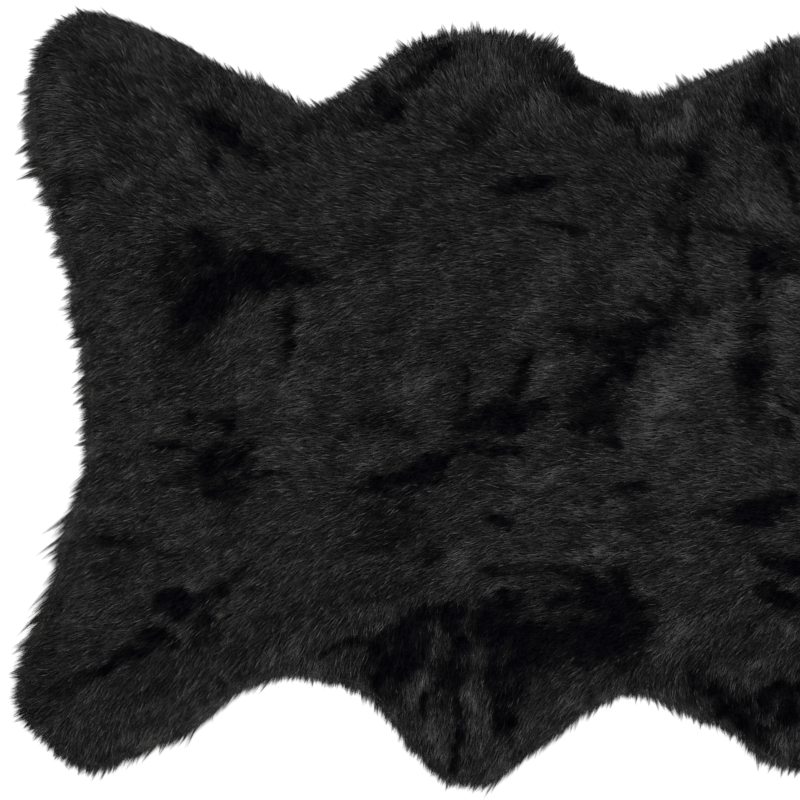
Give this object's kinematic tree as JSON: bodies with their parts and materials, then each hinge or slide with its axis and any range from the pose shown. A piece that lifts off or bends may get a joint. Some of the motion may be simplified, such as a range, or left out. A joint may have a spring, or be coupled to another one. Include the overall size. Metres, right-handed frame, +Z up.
{
  "type": "hide-shaped faux fur rug",
  "caption": "Hide-shaped faux sheepskin rug of long black pile, lying flat, with a wavy outline, four paw-like corners and loose locks of hair all round its edge.",
  "frame": {"origin": "middle of the rug's box, on the floor under it", "axes": "+X along the rug's length, towards the end that the picture doesn't show; +Y across the rug, towards the picture's top; +Z up out of the pile"},
  "size_m": [1.5418, 0.9495, 0.0267],
  "materials": {
    "fur": "long soft black pile with a slight sheen along the hairs"
  },
  "bodies": {
    "root": {"fur_rug": "fur"}
  },
  "joints": []
}
